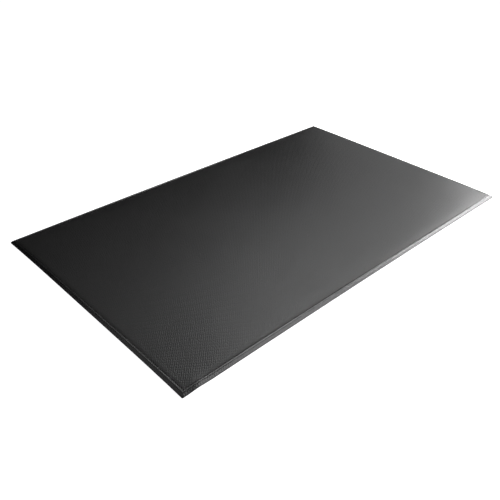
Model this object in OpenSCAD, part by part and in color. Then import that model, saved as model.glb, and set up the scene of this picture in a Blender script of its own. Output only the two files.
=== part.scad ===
/* [Mat] */
// Length of the mat, along X
mat_length = 1524; // [610:2:3000]
// Width of the mat, along Y
mat_width = 914; // [500:2:1500]
// Height of the standing surface above the floor
mat_thickness = 9.5; // [9:0.5:13]

/* [Layers] */
// Thickness of the embossed vinyl wear sheet
wear_thickness = 1; // [0.8:0.1:1.2]
// Thickness of each adhesive film
film_thickness = 0.15; // [0.1:0.05:0.2]
// Thickness of the non-slip backing sheet
backing_thickness = 1; // [0.8:0.1:1.5]
// Radius of the standing surface's gently falling edge
shoulder_radius = 70; // [40:5:100]
// Slope of that falling edge where it meets the seam, in degrees
shoulder_angle = 8; // [6:0.5:10]
// How far the wear sheet is turned down below its falling edge
hem_drop = 1.5; // [1:0.5:2]

/* [Border] */
// Width of one border strip, from the toe to its inner face
strip_width = 14; // [13:0.5:16]
// Slope of the bevel, in degrees from the floor
bevel_angle = 44; // [40:1:44]
// Distance from the toe to the start of the strip's flat top
crown_inset = 8.8; // [8.4:0.2:9.2]
// How far the flat top lies below the standing surface
crown_drop = 0.1; // [0.1:0.1:0.3]
// Radius between the bevel and the flat top
crown_radius = 4; // [3.5:0.1:4.5]
// Width of the flat top
land_width = 3.4; // [2.6:0.1:3.6]
// Slope at which the strip falls from its flat top to the seam, in degrees
fall_angle = 20; // [10:1:25]
// Radius of the strip's rounded toe
toe_radius = 1; // [0.5:0.1:1]
// Chamfer under the toe
toe_chamfer = 0.4; // [0.2:0.1:0.5]
// Width of the toe where it rests on the floor, outside the backing sheet
toe_width = 3; // [2:0.5:4]

/* [Seam] */
// Width of the welded seam between the border and the pad
seam_width = 0.8; // [0.8:0.1:2]
// Depth of the seam below the strip's inner edge
seam_drop = 0.3; // [0.1:0.1:0.5]

/* [Hidden] */
$fn = 48;

vinyl_color = [0.13, 0.13, 0.135];
border_color = [0.11, 0.11, 0.115];
film_color = [0.75, 0.72, 0.62];
foam_color = [0.2, 0.2, 0.21];
backing_color = [0.09, 0.09, 0.09];
weld_color = [0.06, 0.06, 0.06];

// How far a cutting solid runs past the solid that it cuts.
overcut = 1;

// Distance in from the mat's edge to the pad's side.
pad_inset = strip_width + seam_width;

// Centre of the arc at the standing surface's edge, and the arc's lower end.
shoulder_inset = pad_inset + shoulder_radius * sin(shoulder_angle);
shoulder_z = mat_thickness - shoulder_radius;
side_z = shoulder_z + shoulder_radius * cos(shoulder_angle);

// Heights of the layers' faces.
lower_film_z = backing_thickness;
core_z = lower_film_z + film_thickness;
hem_z = side_z - hem_drop;

// Height of the crown's centre.
crown_z = mat_thickness - crown_drop - crown_radius;

// Height of the toe's centre, from a bevel that touches both the crown and the toe.
bevel_run = crown_inset - toe_radius - (crown_radius - toe_radius) * sin(bevel_angle);
bevel_rise = bevel_run * tan(bevel_angle);
toe_z = crown_z + (crown_radius - toe_radius) * cos(bevel_angle) - bevel_rise;

// Heights of the strip's inner edge and of the seam beside it.
land_end = crown_inset + land_width;
fall_z = crown_z + crown_radius - (strip_width - land_end) * tan(fall_angle);
seam_z = fall_z - seam_drop;

// The faces beside an arc lie this far inside their lines, so that they meet it at clean edges.
face_sink = 0.01;

// Block with four mitred corners: child 0 is its section along X, child 1 along Y.
module mitred_block() {
    intersection() {
        rotate([90, 0, 0])
            linear_extrude(height = mat_width, center = true)
                children(0);
        rotate([90, 0, 90])
            linear_extrude(height = mat_length, center = true)
                children(1);
    }
}

// Flat layer with square sides.
module layer(inset, z, thickness) {
    translate([inset - mat_length / 2, inset - mat_width / 2, z])
        cube([mat_length - 2 * inset, mat_width - 2 * inset, thickness]);
}

// Section across the pad: upright sides below, rounded edges above.
module pad_section(span, bottom_z, skin) {
    radius = shoulder_radius - skin;
    half_top = span / 2 - shoulder_inset;
    half_base = span / 2 - pad_inset - skin;
    top_z = shoulder_z + radius;
    intersection() {
        translate([-half_base, bottom_z])
            square([2 * half_base, top_z - bottom_z + overcut]);
        union() {
            translate([-half_top, bottom_z - overcut])
                square([2 * half_top, top_z - bottom_z + overcut]);
            for (side = [-1, 1])
                translate([side * half_top, shoulder_z])
                    circle(radius);
        }
    }
}

// The pad's rounded block, made smaller by the skin that lies over it.
module pad_block(bottom_z, skin) {
    mitred_block() {
        pad_section(mat_length, bottom_z, skin);
        pad_section(mat_width, bottom_z, skin);
    }
}

// Skin over the pad's top that is turned down over its edge.
module turned_skin(outer_skin, inner_skin) {
    difference() {
        pad_block(hem_z, outer_skin);
        pad_block(hem_z - overcut, inner_skin);
    }
}

// Embossed sheet that is stood on.
module wear_sheet() {
    color(vinyl_color)
        turned_skin(0, wear_thickness);
}

// Adhesive between the wear sheet and the cushion.
module upper_bond_film() {
    color(film_color)
        turned_skin(wear_thickness, wear_thickness + film_thickness);
}

// Cushion, stepped in at its top where the turned-down sheet lies against it.
module foam_core() {
    color(foam_color)
        union() {
            layer(pad_inset, core_z, hem_z - core_z);
            pad_block(core_z, wear_thickness + film_thickness);
        }
}

// Adhesive between the backing sheet and what lies on it.
module lower_bond_film() {
    color(film_color)
        layer(toe_width, lower_film_z, film_thickness);
}

// Sheet that grips the floor.
module backing_sheet() {
    color(backing_color)
        layer(toe_width, 0, backing_thickness);
}

// End of the bevel's face, just inside the arc with this centre.
function bevel_end(inset, z, radius) = [
    inset - (radius - face_sink) * sin(bevel_angle),
    z + (radius - face_sink) * cos(bevel_angle)
];

// Section of a border strip: the step over the backing, inner face, fall, flat top, bevel, toe.
module strip_section() {
    polygon([
        [toe_width, 0],
        [toe_width, core_z],
        [strip_width, core_z],
        [strip_width, fall_z - face_sink],
        [land_end, crown_z + crown_radius - face_sink],
        [crown_inset, crown_z + crown_radius - face_sink],
        bevel_end(crown_inset, crown_z, crown_radius),
        bevel_end(toe_radius, toe_z, toe_radius),
        [0, toe_z],
        [0, toe_chamfer],
        [toe_chamfer, 0]
    ]);
    translate([toe_radius, toe_z])
        circle(toe_radius);
    translate([crown_inset, crown_z])
        intersection() {
            circle(crown_radius);
            translate([-crown_radius, 0])
                square([2 * crown_radius, crown_radius + overcut]);
        }
}

// Border strip along one side, with its ends cut at 45 degrees.
module border_strip(side_angle, side_length, side_distance) {
    half_outside = side_length / 2;
    half_inside = half_outside - strip_width;
    color(border_color)
        rotate([0, 0, side_angle])
            translate([0, -side_distance, 0])
                intersection() {
                    rotate([90, 0, 90])
                        linear_extrude(height = side_length, center = true)
                            strip_section();
                    linear_extrude(height = mat_thickness)
                        polygon([
                            [-half_outside, 0],
                            [half_outside, 0],
                            [half_inside, strip_width],
                            [-half_inside, strip_width]
                        ]);
                }
}

module border_strip_front() border_strip(0, mat_length, mat_width / 2);
module border_strip_right() border_strip(90, mat_width, mat_length / 2);
module border_strip_back() border_strip(180, mat_length, mat_width / 2);
module border_strip_left() border_strip(270, mat_width, mat_length / 2);

// Weld that fills the joint between the border and the pad, all the way round.
module seam_weld() {
    color(weld_color)
        difference() {
            layer(strip_width, core_z, seam_z - core_z);
            layer(pad_inset, core_z - overcut, seam_z - core_z + 2 * overcut);
        }
}

wear_sheet();
upper_bond_film();
foam_core();
lower_bond_film();
backing_sheet();
border_strip_front();
border_strip_right();
border_strip_back();
border_strip_left();
seam_weld();
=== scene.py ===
import math

import bmesh
import bpy
from mathutils import Matrix, Vector


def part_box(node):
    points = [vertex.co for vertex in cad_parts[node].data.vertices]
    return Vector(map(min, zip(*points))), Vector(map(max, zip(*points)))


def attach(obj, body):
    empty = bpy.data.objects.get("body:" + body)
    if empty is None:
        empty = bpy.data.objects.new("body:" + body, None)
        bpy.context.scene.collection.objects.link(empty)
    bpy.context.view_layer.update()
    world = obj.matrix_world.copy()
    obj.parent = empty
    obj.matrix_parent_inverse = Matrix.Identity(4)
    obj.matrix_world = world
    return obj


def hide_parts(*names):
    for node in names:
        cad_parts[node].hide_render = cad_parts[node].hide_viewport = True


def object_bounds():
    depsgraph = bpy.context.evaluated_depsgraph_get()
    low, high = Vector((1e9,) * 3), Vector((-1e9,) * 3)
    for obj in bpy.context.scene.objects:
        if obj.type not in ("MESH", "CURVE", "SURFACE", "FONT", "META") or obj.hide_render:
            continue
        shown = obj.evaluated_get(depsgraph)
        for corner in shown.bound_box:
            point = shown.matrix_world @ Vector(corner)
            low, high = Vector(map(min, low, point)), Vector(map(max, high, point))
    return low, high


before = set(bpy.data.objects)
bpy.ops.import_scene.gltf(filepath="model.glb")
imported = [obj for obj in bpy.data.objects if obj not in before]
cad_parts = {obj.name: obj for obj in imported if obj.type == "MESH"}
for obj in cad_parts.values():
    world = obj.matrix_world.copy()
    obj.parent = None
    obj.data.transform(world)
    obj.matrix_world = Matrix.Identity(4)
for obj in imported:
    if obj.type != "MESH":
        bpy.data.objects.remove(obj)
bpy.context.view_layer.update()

# ---------------------------------------------------------------- sizes that model.glb gives

mat_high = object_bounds()[1]
HALF_LENGTH = mat_high.x
HALF_WIDTH = mat_high.y
TOP = mat_high.z

strip_low, strip_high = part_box("border_strip_front")
STRIP_WIDTH = strip_high.y - strip_low.y
CROWN_TOP = strip_high.z

skin_low, skin_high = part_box("wear_sheet")
PAD_INSET = HALF_LENGTH - skin_high.x
HEM_FOOT = skin_low.z

WELD_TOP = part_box("seam_weld")[1].z

backing_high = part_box("backing_sheet")[1]
TOE_WIDTH = HALF_LENGTH - backing_high.x
BACKING_TOP = backing_high.z

core_low, core_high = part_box("foam_core")
CORE_FLOOR = core_low.z
CORE_TOP = core_high.z

film_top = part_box("upper_bond_film")[1].z
SKIN_THICKNESS = TOP - film_top
FILM_THICKNESS = film_top - CORE_TOP

# ---------------------------------------------------------------- sizes of the rounded edges

# The standing surface's edge, which falls very gently to the weld.
SHOULDER_RADIUS = 0.070
SHOULDER_ANGLE = math.radians(8)
SHOULDER_STEPS = 8

# The border's section: its bevel runs from a rounded toe up to a crown, and a flat land follows.
TOE_RADIUS = 0.001
TOE_STEPS = 4
UNDERCUT = 0.0004
BEVEL_ANGLE = math.radians(44)
BEVEL_STEPS = 6
CROWN_INSET = 0.0088
CROWN_RADIUS = 0.004
CROWN_STEPS = 10
LAND_WIDTH = 0.0034
LAND_STEPS = 4
LAND_EDGE_RADIUS = 0.0012
LAND_EDGE_STEPS = 4
FALL_ANGLE = math.radians(20)
FALL_STEPS = 2

# The weld's hollow top: how far it stays below the pad's edge, and how its curve steepens.
WELD_DIP = 0.0002
WELD_CURVE = 1.6
WELD_STEPS = 6

# Distance between the rows of vertices along the mat, in its middle and near its corners.
ROW_SPACING = 0.0127
CORNER_SPACING = 0.003
CORNER_REACH = 0.075

# Vertices closer than this are one, and edges turned by more than this stay sharp.
MERGE_DISTANCE = 0.00001
SHARP_ANGLE = math.radians(35)


def arc(center, radius, start, end, steps):
    """Points on an arc of a section, as (distance in from the mat's edge, height)."""
    points = []
    for i in range(steps + 1):
        angle = math.radians(start + (end - start) * i / steps)
        points.append((center[0] + radius * math.cos(angle), center[1] + radius * math.sin(angle)))
    return points


def between(start, end, steps):
    """Points that divide a straight stretch of a section, without its two ends."""
    return [
        tuple(a + (b - a) * i / steps for a, b in zip(start, end))
        for i in range(1, steps)
    ]


# ---------------------------------------------------------------- how the mat lies

# Size of the rounding at each corner, seen from above.
CORNER_BLUNTING = 0.003

# How far the short and the long sides bow, and the part of it that stays at their middles.
END_BOW = 0.0029
END_BOW_MIDDLE = 0.3
SIDE_BOW = 0.0033
SIDE_BOW_MIDDLE = 0.45

# How much higher the cushion stands in its middle, and how far in from the long and the short
# sides it reaches that height.
CUSHION_RISE = 0.002
SIDE_ROLL = 0.060
END_ROLL = 0.25

# Where the front edge stands off the floor: how high, how far from the left end, how wide the
# lifted stretch is, and how far it reaches in.
FRONT_LIFT = 0.002
LIFT_PLACE = 0.052
LIFT_SPREAD = 0.026
LIFT_REACH = 0.07


def swell(inset, roll):
    """Grows from 0 at the border to 1 where the cushion has reached its full height."""
    part = max(0.0, min(1.0, (inset - STRIP_WIDTH) / roll))
    return 1.0 - (1.0 - part) ** 2


def bell(value, middle, spread):
    """1 at the middle, and falling smoothly to 0 on both sides of it."""
    return math.exp(-((value - middle) / spread) ** 2)


def rise_to_edge(y):
    """Grows from 0 inside the mat to 1 at its front edge."""
    near = max(0.0, min(1.0, (-y - HALF_WIDTH + LIFT_REACH) / LIFT_REACH))
    return near * near * (3 - 2 * near)


def lie(point):
    """Where a point of the flat mat comes to lie, with its bows, blunt corners, rise and lift."""
    x, y, z = point
    along = x / HALF_LENGTH
    across = y / HALF_WIDTH
    past_x = abs(x) - (HALF_LENGTH - CORNER_BLUNTING)
    past_y = abs(y) - (HALF_WIDTH - CORNER_BLUNTING)
    if past_x > 0 and past_y > 0:
        pull = max(past_x, past_y) / math.hypot(past_x, past_y)
        x = math.copysign(HALF_LENGTH - CORNER_BLUNTING + past_x * pull, x)
        y = math.copysign(HALF_WIDTH - CORNER_BLUNTING + past_y * pull, y)
    x += END_BOW * (END_BOW_MIDDLE - across ** 4)
    y += SIDE_BOW * (SIDE_BOW_MIDDLE - along ** 2)
    rise = CUSHION_RISE * z / TOP * swell(HALF_WIDTH - abs(y), SIDE_ROLL)
    z += rise * swell(HALF_LENGTH - abs(x), END_ROLL)
    z += FRONT_LIFT * bell(x, LIFT_PLACE - HALF_LENGTH, LIFT_SPREAD) * rise_to_edge(y)
    return Vector((x, y, z))


def settle(bm):
    """Moves a piece's vertices to where they lie, and turns its faces outwards."""
    for vert in bm.verts:
        vert.co = lie(vert.co)
    bmesh.ops.recalc_face_normals(bm, faces=bm.faces)


def finish_piece(bm, name, material, nodes):
    """Makes the object for a finished mesh and parents it under the root body."""
    settle(bm)
    mesh = bpy.data.meshes.new(name)
    bm.to_mesh(mesh)
    bm.free()
    mesh.shade_smooth()
    mesh.set_sharp_from_angle(angle=SHARP_ANGLE)
    mesh.materials.append(material)
    piece = bpy.data.objects.new(name, mesh)
    bpy.context.scene.collection.objects.link(piece)
    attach(piece, "root")
    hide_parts(*nodes)
    return piece


# ---------------------------------------------------------------- shader node groups

def link(tree, source, target):
    """Joins two sockets in a node tree."""
    tree.links.new(source, target)


def math_node(tree, operation, first, second=None, third=None):
    """Math node whose inputs are numbers or other sockets."""
    node = tree.nodes.new("ShaderNodeMath")
    node.operation = operation
    for socket, value in zip(node.inputs, (first, second, third)):
        if value is None:
            continue
        if isinstance(value, (int, float)):
            socket.default_value = value
        else:
            link(tree, value, socket)
    return node.outputs[0]


def map_range(tree, value, low, high, to_low, to_high):
    """Smooth step from one range to another."""
    node = tree.nodes.new("ShaderNodeMapRange")
    node.interpolation_type = "SMOOTHSTEP"
    link(tree, value, node.inputs["Value"])
    node.inputs["From Min"].default_value = low
    node.inputs["From Max"].default_value = high
    node.inputs["To Min"].default_value = to_low
    node.inputs["To Max"].default_value = to_high
    return node.outputs["Result"]


def noise_node(tree, vector, scale, detail, roughness):
    """Noise texture's factor, with features per metre as its scale."""
    node = tree.nodes.new("ShaderNodeTexNoise")
    link(tree, vector, node.inputs["Vector"])
    node.inputs["Scale"].default_value = scale
    node.inputs["Detail"].default_value = detail
    node.inputs["Roughness"].default_value = roughness
    return node.outputs["Fac"]


def new_group(name, inputs, outputs):
    """Shader node group with its interface made, and its input and output nodes."""
    tree = bpy.data.node_groups.new(name, "ShaderNodeTree")
    for socket_name, socket_type, value in inputs:
        socket = tree.interface.new_socket(
            name=socket_name, in_out="INPUT", socket_type=socket_type
        )
        if value is not None:
            socket.default_value = value
    for socket_name, socket_type in outputs:
        tree.interface.new_socket(name=socket_name, in_out="OUTPUT", socket_type=socket_type)
    entry = tree.nodes.new("NodeGroupInput")
    leave = tree.nodes.new("NodeGroupOutput")
    return tree, entry, leave


def make_pebble_group():
    """Close-set low pebbles, laid out on a grid that runs diagonally across the mat."""
    tree, entry, leave = new_group(
        "pebble_emboss",
        [("Vector", "NodeSocketVector", None), ("Pitch", "NodeSocketFloat", 0.0055)],
        [("Height", "NodeSocketFloat")],
    )
    turned = tree.nodes.new("ShaderNodeVectorRotate")
    turned.rotation_type = "Z_AXIS"
    turned.inputs["Angle"].default_value = math.radians(45)
    link(tree, entry.outputs["Vector"], turned.inputs["Vector"])
    scaled = tree.nodes.new("ShaderNodeVectorMath")
    scaled.operation = "SCALE"
    link(tree, turned.outputs["Vector"], scaled.inputs[0])
    link(tree, math_node(tree, "DIVIDE", 1.0, entry.outputs["Pitch"]), scaled.inputs["Scale"])
    cells = tree.nodes.new("ShaderNodeTexVoronoi")
    cells.voronoi_dimensions = "2D"
    cells.feature = "F1"
    cells.inputs["Scale"].default_value = 1.0
    cells.inputs["Randomness"].default_value = 0.35
    link(tree, scaled.outputs[0], cells.inputs["Vector"])
    link(
        tree,
        map_range(tree, cells.outputs["Distance"], 0.12, 0.58, 1.0, 0.0),
        leave.inputs["Height"],
    )
    return tree


def make_grain_group():
    """Fine leathery grain of calendered vinyl."""
    tree, entry, leave = new_group(
        "vinyl_grain",
        [("Vector", "NodeSocketVector", None)],
        [("Height", "NodeSocketFloat"), ("Sheen", "NodeSocketFloat")],
    )
    vector = entry.outputs["Vector"]
    fine = noise_node(tree, vector, 1400, 3.0, 0.6)
    coarse = noise_node(tree, vector, 420, 2.0, 0.5)
    height = math_node(tree, "MULTIPLY_ADD", fine, 0.6, math_node(tree, "MULTIPLY", coarse, 0.4))
    link(tree, height, leave.inputs["Height"])
    link(tree, coarse, leave.inputs["Sheen"])
    return tree


def make_use_group():
    """Faint traces of use: dust in patches, and a few duller areas."""
    tree, entry, leave = new_group(
        "light_use",
        [("Vector", "NodeSocketVector", None)],
        [("Dust", "NodeSocketFloat"), ("Dullness", "NodeSocketFloat")],
    )
    vector = entry.outputs["Vector"]
    patches = noise_node(tree, vector, 3.1, 4.0, 0.6)
    specks = noise_node(tree, vector, 260, 2.0, 0.6)
    dust = math_node(
        tree,
        "MULTIPLY",
        map_range(tree, patches, 0.42, 0.72, 0.0, 1.0),
        map_range(tree, specks, 0.5, 0.75, 0.0, 1.0),
    )
    link(tree, dust, leave.inputs["Dust"])
    link(tree, map_range(tree, patches, 0.3, 0.7, 0.0, 1.0), leave.inputs["Dullness"])
    return tree


PEBBLES = make_pebble_group()
GRAIN = make_grain_group()
LIGHT_USE = make_use_group()


# ---------------------------------------------------------------- materials

def place_group(tree, group, vector):
    """Copy of a node group in a material, at these coordinates."""
    node = tree.nodes.new("ShaderNodeGroup")
    node.node_tree = group
    link(tree, vector, node.inputs["Vector"])
    return node


def mix_colors(tree, factor, first, second):
    """Blend of two colours, by a socket's factor."""
    node = tree.nodes.new("ShaderNodeMix")
    node.data_type = "RGBA"
    link(tree, factor, node.inputs["Factor"])
    for socket, color in ((node.inputs[6], first), (node.inputs[7], second)):
        socket.default_value = (*color, 1.0)
    return node.outputs[2]


def bump(tree, height, distance, strength=1.0, normal=None):
    """Normal for a height mask of this depth, over another normal if one is given."""
    node = tree.nodes.new("ShaderNodeBump")
    node.inputs["Distance"].default_value = distance
    node.inputs["Strength"].default_value = strength
    link(tree, height, node.inputs["Height"])
    if normal is not None:
        link(tree, normal, node.inputs["Normal"])
    return node.outputs["Normal"]


def new_material(name):
    """Empty material with its shader and its object coordinates."""
    material = bpy.data.materials.new(name)
    material.use_nodes = True
    tree = material.node_tree
    shader = tree.nodes["Principled BSDF"]
    coordinates = tree.nodes.new("ShaderNodeTexCoord").outputs["Object"]
    return material, tree, shader, coordinates


# The toe is scuffed matt up to the first of these heights, and not at all above the second.
SCUFF_FULL = 0.0024
SCUFF_END = 0.0036
SCUFF_ROUGHNESS = 0.5

# Roughness of the border's coat, the gloss that a welded strip keeps.
COAT_ROUGHNESS = 0.22

# Depths of the vinyl's grain, the rubber's grain, and the grip emboss under the mat.
VINYL_GRAIN_DEPTH = 0.00012
RUBBER_GRAIN_DEPTH = 0.0002
GRIP_DEPTH = 0.0005

# Distances from pebble to pebble.
PEBBLE_PITCH = 0.0055
GRIP_PITCH = 0.004

CHARCOAL = (0.012, 0.012, 0.0122)
CHARCOAL_DUST = (0.05, 0.048, 0.044)
MELTED_BLACK = (0.008, 0.008, 0.008)
MELTED_BLACK_DUST = (0.04, 0.038, 0.035)
RUBBER_BLACK = (0.014, 0.014, 0.014)
RUBBER_DIRT = (0.06, 0.058, 0.052)
# The foam's pit colour is painted shade, darker than the foam's own colour at the cell walls.
FOAM_PIT_PAINTED_SHADE = (0.022, 0.022, 0.024)
FOAM_WALL = (0.055, 0.055, 0.058)
GLUE_DARK = (0.36, 0.32, 0.22)
GLUE_PALE = (0.55, 0.51, 0.40)


def make_vinyl(name, color, dusty_color, pebble_depth, roughness, coat=0.0):
    """Satin charcoal vinyl; a pebble depth of 0 leaves only its grain."""
    material, tree, shader, coordinates = new_material(name)
    grain = place_group(tree, GRAIN, coordinates)
    use = place_group(tree, LIGHT_USE, coordinates)
    normal = bump(tree, grain.outputs["Height"], VINYL_GRAIN_DEPTH, 0.5)
    dull = math_node(tree, "MULTIPLY_ADD", grain.outputs["Sheen"], 0.10, roughness - 0.07)
    dull = math_node(tree, "MULTIPLY_ADD", use.outputs["Dullness"], 0.04, dull)
    place = tree.nodes.new("ShaderNodeSeparateXYZ")
    link(tree, coordinates, place.inputs[0])
    scuffed = map_range(tree, place.outputs["Z"], SCUFF_FULL, SCUFF_END, 1.0, 0.0)
    dull = math_node(tree, "MULTIPLY_ADD", scuffed, SCUFF_ROUGHNESS, dull)
    dust = math_node(tree, "MULTIPLY", use.outputs["Dust"], 0.25)
    if pebble_depth:
        pebbles = place_group(tree, PEBBLES, coordinates)
        pebbles.inputs["Pitch"].default_value = PEBBLE_PITCH
        height = pebbles.outputs["Height"]
        normal = bump(tree, height, pebble_depth, 1.0, normal)
        dull = math_node(tree, "MULTIPLY_ADD", height, -0.06, math_node(tree, "ADD", dull, 0.03))
        dust = math_node(tree, "MULTIPLY", dust, math_node(tree, "SUBTRACT", 1.0, height))
    link(tree, mix_colors(tree, dust, color, dusty_color), shader.inputs["Base Color"])
    link(tree, dull, shader.inputs["Roughness"])
    link(tree, normal, shader.inputs["Normal"])
    shader.inputs["IOR"].default_value = 1.5
    if coat:
        shader.inputs["Coat Roughness"].default_value = COAT_ROUGHNESS
        gloss = map_range(tree, place.outputs["Z"], SCUFF_FULL, SCUFF_END, 0.0, coat)
        link(tree, gloss, shader.inputs["Coat Weight"])
    return material


def make_foam():
    """Closed-cell foam, cut smooth, with its cells showing as fine pits that are darkened with
    painted shade.
    """
    material, tree, shader, coordinates = new_material("cushion_foam")
    cells = tree.nodes.new("ShaderNodeTexVoronoi")
    cells.inputs["Scale"].default_value = 1300
    link(tree, coordinates, cells.inputs["Vector"])
    distance = cells.outputs["Distance"]
    # Painted shade: the colour darkens towards the bottom of each pit, following the bump's depth.
    shade = mix_colors(tree, distance, FOAM_PIT_PAINTED_SHADE, FOAM_WALL)
    link(tree, shade, shader.inputs["Base Color"])
    link(tree, map_range(tree, distance, 0.0, 1.0, 0.8, 0.95), shader.inputs["Roughness"])
    link(tree, bump(tree, distance, 0.0004), shader.inputs["Normal"])
    return material


def make_film():
    """Dried contact adhesive, rolled on, with its streaks along the mat."""
    material, tree, shader, coordinates = new_material("adhesive_film")
    stretch = tree.nodes.new("ShaderNodeMapping")
    stretch.inputs["Scale"].default_value = (0.15, 1.0, 1.0)
    link(tree, coordinates, stretch.inputs["Vector"])
    streaks = noise_node(tree, stretch.outputs["Vector"], 180, 3.0, 0.6)
    shade = mix_colors(tree, streaks, GLUE_DARK, GLUE_PALE)
    link(tree, shade, shader.inputs["Base Color"])
    link(tree, map_range(tree, streaks, 0.2, 0.8, 0.35, 0.6), shader.inputs["Roughness"])
    link(tree, bump(tree, streaks, 0.0001), shader.inputs["Normal"])
    return material


def make_backing():
    """Matt rubber with a small grip emboss and a light dusting of floor dirt."""
    material, tree, shader, coordinates = new_material("backing_rubber")
    grain = place_group(tree, GRAIN, coordinates)
    use = place_group(tree, LIGHT_USE, coordinates)
    grip = place_group(tree, PEBBLES, coordinates)
    grip.inputs["Pitch"].default_value = GRIP_PITCH
    dust = math_node(tree, "MULTIPLY", use.outputs["Dust"], 0.5)
    shade = mix_colors(tree, dust, RUBBER_BLACK, RUBBER_DIRT)
    link(tree, shade, shader.inputs["Base Color"])
    dull = map_range(tree, use.outputs["Dullness"], 0.0, 1.0, 0.6, 0.75)
    link(tree, dull, shader.inputs["Roughness"])
    normal = bump(tree, grain.outputs["Height"], RUBBER_GRAIN_DEPTH)
    normal = bump(tree, grip.outputs["Height"], GRIP_DEPTH, 1.0, normal)
    link(tree, normal, shader.inputs["Normal"])
    return material


FIELD_VINYL = make_vinyl(
    "embossed_vinyl", CHARCOAL, CHARCOAL_DUST, pebble_depth=0.0003, roughness=0.34
)
BORDER_VINYL = make_vinyl(
    "border_vinyl", CHARCOAL, CHARCOAL_DUST, pebble_depth=0.00025, roughness=0.24, coat=0.35
)
WELD_VINYL = make_vinyl(
    "weld_vinyl", MELTED_BLACK, MELTED_BLACK_DUST, pebble_depth=0, roughness=0.30
)
FOAM = make_foam()
FILM = make_film()
BACKING = make_backing()


# ---------------------------------------------------------------- mesh building

def rows(length):
    """How many rows of faces divide this length."""
    return max(2, round(length / ROW_SPACING))


def stations(half_run):
    """Places along one side, closer together near its corners."""
    inner = half_run - CORNER_REACH
    close = round(CORNER_REACH / CORNER_SPACING)
    wide = rows(2 * inner)
    places = [-half_run + i * CORNER_REACH / close for i in range(close)]
    places += [-inner + i * 2 * inner / wide for i in range(wide + 1)]
    return places + [-place for place in reversed(places[:close])]


def take_in(bm, other):
    """Adds another mesh under construction to this one, and frees it."""
    spare = bpy.data.meshes.new("spare")
    other.to_mesh(spare)
    other.free()
    bm.from_mesh(spare)
    bpy.data.meshes.remove(spare)


def flat_grid(bm, inset, height):
    """Grid over the mat, inside this inset, at one height."""
    places_x = stations(HALF_LENGTH)
    places_y = stations(HALF_WIDTH)
    shrink_x = (HALF_LENGTH - inset) / HALF_LENGTH
    shrink_y = (HALF_WIDTH - inset) / HALF_WIDTH
    count_x = len(places_x) - 1
    count_y = len(places_y) - 1
    bmesh.ops.create_grid(bm, x_segments=count_x, y_segments=count_y, size=1.0)
    for vert in bm.verts:
        column = round((vert.co.x + 1) / 2 * count_x)
        row = round((vert.co.y + 1) / 2 * count_y)
        vert.co = Vector((places_x[column] * shrink_x, places_y[row] * shrink_y, height))


def rim_edges(bm):
    """Edges that have a face on one side only."""
    return [edge for edge in bm.edges if edge.is_boundary]


def extrude_rim(bm, edges, inset, section):
    """Carries the rim of a grid on along a section."""
    for next_inset, next_height in section:
        made = bmesh.ops.extrude_edge_only(bm, edges=edges)["geom"]
        verts = [item for item in made if isinstance(item, bmesh.types.BMVert)]
        edges = [item for item in made if isinstance(item, bmesh.types.BMEdge)]
        scale_x = (HALF_LENGTH - next_inset) / (HALF_LENGTH - inset)
        scale_y = (HALF_WIDTH - next_inset) / (HALF_WIDTH - inset)
        for vert in verts:
            vert.co = Vector((vert.co.x * scale_x, vert.co.y * scale_y, next_height))
        inset = next_inset


def shoulder_start():
    """Inset at which the standing surface begins to round off."""
    return PAD_INSET + SHOULDER_RADIUS * math.sin(SHOULDER_ANGLE)


def shoulder_section(skin):
    """The pad's rounded edge and upright side, this far inside the outer face."""
    center = (shoulder_start(), TOP - SHOULDER_RADIUS)
    radius = SHOULDER_RADIUS - skin
    side = PAD_INSET + skin
    lean = math.degrees(math.acos((center[0] - side) / radius))
    section = arc(center, radius, 90, 180 - lean, SHOULDER_STEPS)
    return section[1:] + [(side, HEM_FOOT)]


def turned_skin(outer, inner):
    """Closed skin between two offsets of the pad's top, turned down over its edge."""
    bm = bmesh.new()
    inset = shoulder_start()
    flat_grid(bm, inset, TOP - outer)
    extrude_rim(bm, rim_edges(bm), inset, shoulder_section(outer))
    inside = bmesh.new()
    flat_grid(inside, inset, TOP - inner)
    extrude_rim(inside, rim_edges(inside), inset, shoulder_section(inner))
    take_in(bm, inside)
    bmesh.ops.bridge_loops(bm, edges=rim_edges(bm))
    return bm


def slab(inset, floor, top):
    """Flat layer with a closed side all round."""
    bm = bmesh.new()
    flat_grid(bm, inset, floor)
    grown = bmesh.ops.extrude_face_region(bm, geom=bm.faces[:])["geom"]
    verts = [item for item in grown if isinstance(item, bmesh.types.BMVert)]
    bmesh.ops.translate(bm, vec=(0, 0, top - floor), verts=verts)
    return bm


def make_wear_sheet():
    """The sheet that is stood on."""
    bm = turned_skin(0.0, SKIN_THICKNESS)
    finish_piece(bm, "wear_sheet_skin", FIELD_VINYL, ["wear_sheet"])


def make_upper_film():
    """Adhesive between the wear sheet and the cushion."""
    bm = turned_skin(SKIN_THICKNESS, SKIN_THICKNESS + FILM_THICKNESS)
    finish_piece(bm, "upper_film", FILM, ["upper_bond_film"])


def make_foam_core():
    """The cushion, stepped in where the turned-down skin lies against it."""
    skin = SKIN_THICKNESS + FILM_THICKNESS
    inset = shoulder_start()
    bm = bmesh.new()
    flat_grid(bm, inset, CORE_TOP)
    section = shoulder_section(skin) + [(PAD_INSET, HEM_FOOT), (PAD_INSET, CORE_FLOOR)]
    extrude_rim(bm, rim_edges(bm), inset, section)
    underside = bmesh.new()
    flat_grid(underside, PAD_INSET, CORE_FLOOR)
    take_in(bm, underside)
    bmesh.ops.remove_doubles(bm, verts=bm.verts, dist=MERGE_DISTANCE)
    core = finish_piece(bm, "cushion_core", FOAM, ["foam_core"])


def make_lower_film():
    """Adhesive between the cushion and the backing."""
    bm = slab(TOE_WIDTH, BACKING_TOP, CORE_FLOOR)
    finish_piece(bm, "lower_film", FILM, ["lower_bond_film"])


def make_backing_sheet():
    """The sheet that grips the floor."""
    bm = slab(TOE_WIDTH, 0.0, BACKING_TOP)
    finish_piece(bm, "backing", BACKING, ["backing_sheet"])


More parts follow.
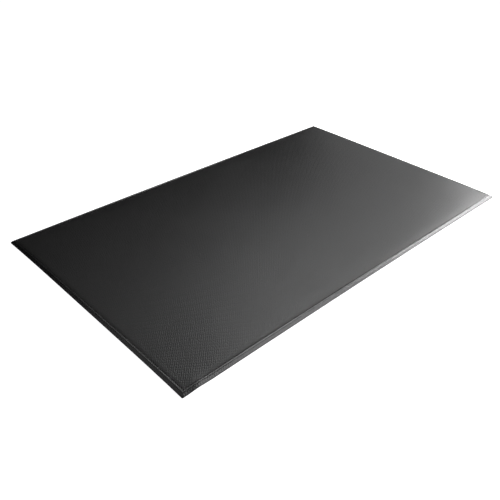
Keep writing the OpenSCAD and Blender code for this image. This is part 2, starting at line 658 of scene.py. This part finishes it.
def strip_section():
    """Closed section of a border strip."""
    crown = (CROWN_INSET, CROWN_TOP - CROWN_RADIUS)
    slope = math.degrees(BEVEL_ANGLE)
    crown_arc = arc(crown, CROWN_RADIUS, 90 + slope, 90, CROWN_STEPS)
    land_end = CROWN_INSET + LAND_WIDTH
    edge = (land_end - LAND_EDGE_RADIUS * math.tan(FALL_ANGLE / 2), CROWN_TOP - LAND_EDGE_RADIUS)
    edge_slope = math.degrees(FALL_ANGLE)
    edge_arc = arc(edge, LAND_EDGE_RADIUS, 90, 90 - edge_slope, LAND_EDGE_STEPS)
    run = crown[0] - TOE_RADIUS - (CROWN_RADIUS - TOE_RADIUS) * math.sin(BEVEL_ANGLE)
    toe_height = crown[1] + (CROWN_RADIUS - TOE_RADIUS) * math.cos(BEVEL_ANGLE)
    toe = (TOE_RADIUS, toe_height - run * math.tan(BEVEL_ANGLE))
    toe_arc = arc(toe, TOE_RADIUS, 180, 90 + slope, TOE_STEPS)
    fall_end = (STRIP_WIDTH, CROWN_TOP - (STRIP_WIDTH - land_end) * math.tan(FALL_ANGLE))
    section = [(TOE_WIDTH, 0.0), (UNDERCUT, 0.0), (0.0, UNDERCUT)]
    section += toe_arc
    section += between(toe_arc[-1], crown_arc[0], BEVEL_STEPS)
    section += crown_arc
    section += between(crown_arc[-1], edge_arc[0], LAND_STEPS)
    section += edge_arc
    section += between(edge_arc[-1], fall_end, FALL_STEPS)
    section += [fall_end, (STRIP_WIDTH, CORE_FLOOR), (TOE_WIDTH, CORE_FLOOR)]
    return section


def weld_section():
    """Closed section of the weld bead, hollow on top where the melt drew in."""
    pad_edge = TOP - SHOULDER_RADIUS * (1 - math.cos(SHOULDER_ANGLE))
    end_height = pad_edge - WELD_DIP
    section = [(STRIP_WIDTH, CORE_FLOOR), (STRIP_WIDTH, WELD_TOP)]
    for i in range(1, WELD_STEPS):
        part = i / WELD_STEPS
        height = WELD_TOP + (end_height - WELD_TOP) * part ** WELD_CURVE
        section.append((STRIP_WIDTH + (PAD_INSET - STRIP_WIDTH) * part, height))
    section += [(PAD_INSET, end_height), (PAD_INSET, CORE_FLOOR)]
    return section


def sweep_side(section, turn, half_run, half_across):
    """Closed bar with this section along one side of the mat, mitred at both ends."""
    bm = bmesh.new()
    first = [bm.verts.new((-half_run, u - half_across, z)) for u, z in section]
    ring = [bm.edges.new((a, b)) for a, b in zip(first, first[1:] + first[:1])]
    start = ring
    places = stations(half_run)
    for place, next_place in zip(places, places[1:]):
        made = bmesh.ops.extrude_edge_only(bm, edges=ring)["geom"]
        verts = [item for item in made if isinstance(item, bmesh.types.BMVert)]
        ring = [item for item in made if isinstance(item, bmesh.types.BMEdge)]
        bmesh.ops.translate(bm, vec=(next_place - place, 0, 0), verts=verts)
    bmesh.ops.edgeloop_fill(bm, edges=start)
    bmesh.ops.edgeloop_fill(bm, edges=ring)
    for vert in bm.verts:
        inset = vert.co.y + half_across
        vert.co.x *= (half_run - inset) / half_run
    bmesh.ops.rotate(bm, verts=bm.verts, matrix=Matrix.Rotation(math.radians(turn), 3, "Z"))
    return bm


SIDES = [
    ("front", 0, HALF_LENGTH, HALF_WIDTH),
    ("right", 90, HALF_WIDTH, HALF_LENGTH),
    ("back", 180, HALF_LENGTH, HALF_WIDTH),
    ("left", 270, HALF_WIDTH, HALF_LENGTH),
]


def make_border():
    """The four bevelled strips, mitred together at the corners."""
    for side, turn, half_run, half_across in SIDES:
        bm = sweep_side(strip_section(), turn, half_run, half_across)
        finish_piece(
            bm, f"border_{side}", BORDER_VINYL, [f"border_strip_{side}"]
        )


def make_weld():
    """Weld bead all the way round the joint between the border and the pad."""
    joined = bmesh.new()
    for side, turn, half_run, half_across in SIDES:
        bm = sweep_side(weld_section(), turn, half_run, half_across)
        mitres = [face for face in bm.faces if len(face.verts) > 4]
        bmesh.ops.delete(bm, geom=mitres, context="FACES_ONLY")
        take_in(joined, bm)
    bmesh.ops.remove_doubles(joined, verts=joined.verts, dist=MERGE_DISTANCE)
    finish_piece(joined, "weld_bead", WELD_VINYL, ["seam_weld"])


# ---------------------------------------------------------------- floor, lights and camera

# How strongly the floor lights the mat, where 1 is the white that the camera sees.
FLOOR_GLOW = 0.398
FLOOR_REACH = 10.0
FLOOR_GAP = 0.0002

LIGHT_DISTANCE = 2.6
LIGHT_AIM = Vector((0.2, -0.05, 0.0))
SMALL_BOX = 0.8
LARGE_BOX = 1.1

CAMERA_AIM = Vector((-0.23661, -0.06829, 0.0))
CAMERA_DISTANCE = 1.99874
CAMERA_AZIMUTH = math.radians(-43.1957)
CAMERA_ELEVATION = math.radians(33.9818)
CAMERA_ROLL = math.radians(1.0344)
CAMERA_LENS = 43.62
CAMERA_SENSOR = 36.0
CAMERA_SHIFT = (0.0329, 0.001)


def make_floor():
    """Plain pale floor, just under the mat."""
    material, tree, shader, _ = new_material("pale_floor")
    shader.inputs["Base Color"].default_value = (0.85, 0.85, 0.85, 1.0)
    shader.inputs["Roughness"].default_value = 0.9
    shader.inputs["Emission Color"].default_value = (1.0, 1.0, 1.0, 1.0)
    seen = tree.nodes.new("ShaderNodeLightPath").outputs["Is Camera Ray"]
    glow = math_node(tree, "MULTIPLY_ADD", seen, 1.0 - FLOOR_GLOW, FLOOR_GLOW)
    link(tree, glow, shader.inputs["Emission Strength"])
    bm = bmesh.new()
    bmesh.ops.create_grid(bm, x_segments=1, y_segments=1, size=FLOOR_REACH)
    bmesh.ops.translate(bm, vec=(0, 0, -FLOOR_GAP), verts=bm.verts)
    mesh = bpy.data.meshes.new("floor")
    bm.to_mesh(mesh)
    bm.free()
    mesh.materials.append(material)
    floor = bpy.data.objects.new("floor", mesh)
    bpy.context.scene.collection.objects.link(floor)


# Softboxes on a dome round the mat, as name, bearing from +Y towards +X, elevation, size, watts.
SOFTBOXES = [
    ("front_right_key", 120, 32, SMALL_BOX, 42.36),
    ("right_low", 90, 20, SMALL_BOX, 21.21),
    ("front_right_low", 120, 20, SMALL_BOX, 19.38),
    ("back_right_top", 45, 56, SMALL_BOX, 14.09),
    ("front_wide", 160, 30, LARGE_BOX, 13.62),
    ("right_top", 75, 46, SMALL_BOX, 9.65),
    ("back_top", 0, 55, LARGE_BOX, 4),
    ("left_wide", 290, 25, LARGE_BOX, 2.03),
    ("front_right_fill", 140, 25, SMALL_BOX, 1.42),
    ("back_right_rim", 60, 10, SMALL_BOX, 1.28),
    ("right_rim", 75, 10, SMALL_BOX, 1.22),
    ("back_right_fill", 60, 32, SMALL_BOX, 0.82),
    ("right_fill", 90, 32, SMALL_BOX, 0.47),
]


def direction(bearing, elevation):
    """Unit vector towards this bearing from +Y, in radians, and this elevation."""
    return Vector((
        math.sin(bearing) * math.cos(elevation),
        math.cos(bearing) * math.cos(elevation),
        math.sin(elevation),
    ))


def make_softbox(name, place, size, power):
    """Square area light at a place, facing the mat."""
    light = bpy.data.lights.new(name, "AREA")
    light.shape = "RECTANGLE"
    light.size = size
    light.size_y = size
    light.energy = power
    lamp = bpy.data.objects.new(name, light)
    lamp.location = place
    lamp.rotation_euler = (LIGHT_AIM - place).to_track_quat("-Z", "Y").to_euler()
    bpy.context.scene.collection.objects.link(lamp)


def make_lights():
    """All the softboxes, in a dark studio."""
    for name, bearing, elevation, size, power in SOFTBOXES:
        toward = direction(math.radians(bearing), math.radians(elevation))
        make_softbox(name, LIGHT_AIM + LIGHT_DISTANCE * toward, size, power)
    world = bpy.data.worlds.new("studio")
    world.use_nodes = True
    world.node_tree.nodes["Background"].inputs["Color"].default_value = (1, 1, 1, 1)
    world.node_tree.nodes["Background"].inputs["Strength"].default_value = 0.0
    bpy.context.scene.world = world


def make_camera():
    """Camera above the front left corner, looking down across the mat."""
    back = direction(math.pi - CAMERA_AZIMUTH, CAMERA_ELEVATION)
    right = Vector((math.cos(CAMERA_AZIMUTH), math.sin(CAMERA_AZIMUTH), 0.0))
    up = back.cross(right)
    rolled_right = right * math.cos(CAMERA_ROLL) + up * math.sin(CAMERA_ROLL)
    rolled_up = up * math.cos(CAMERA_ROLL) - right * math.sin(CAMERA_ROLL)
    place = CAMERA_AIM + back * CAMERA_DISTANCE
    camera_data = bpy.data.cameras.new("camera")
    camera_data.sensor_width = CAMERA_SENSOR
    camera_data.lens = CAMERA_LENS
    camera_data.shift_x, camera_data.shift_y = CAMERA_SHIFT
    camera = bpy.data.objects.new("camera", camera_data)
    camera.matrix_world = Matrix((
        (rolled_right.x, rolled_up.x, back.x, place.x),
        (rolled_right.y, rolled_up.y, back.y, place.y),
        (rolled_right.z, rolled_up.z, back.z, place.z),
        (0, 0, 0, 1),
    ))
    bpy.context.scene.collection.objects.link(camera)
    bpy.context.scene.camera = camera


make_wear_sheet()
make_upper_film()
make_foam_core()
make_lower_film()
make_backing_sheet()
make_border()
make_weld()
make_floor()
make_lights()
make_camera()
bpy.context.scene.view_settings.view_transform = "Standard"
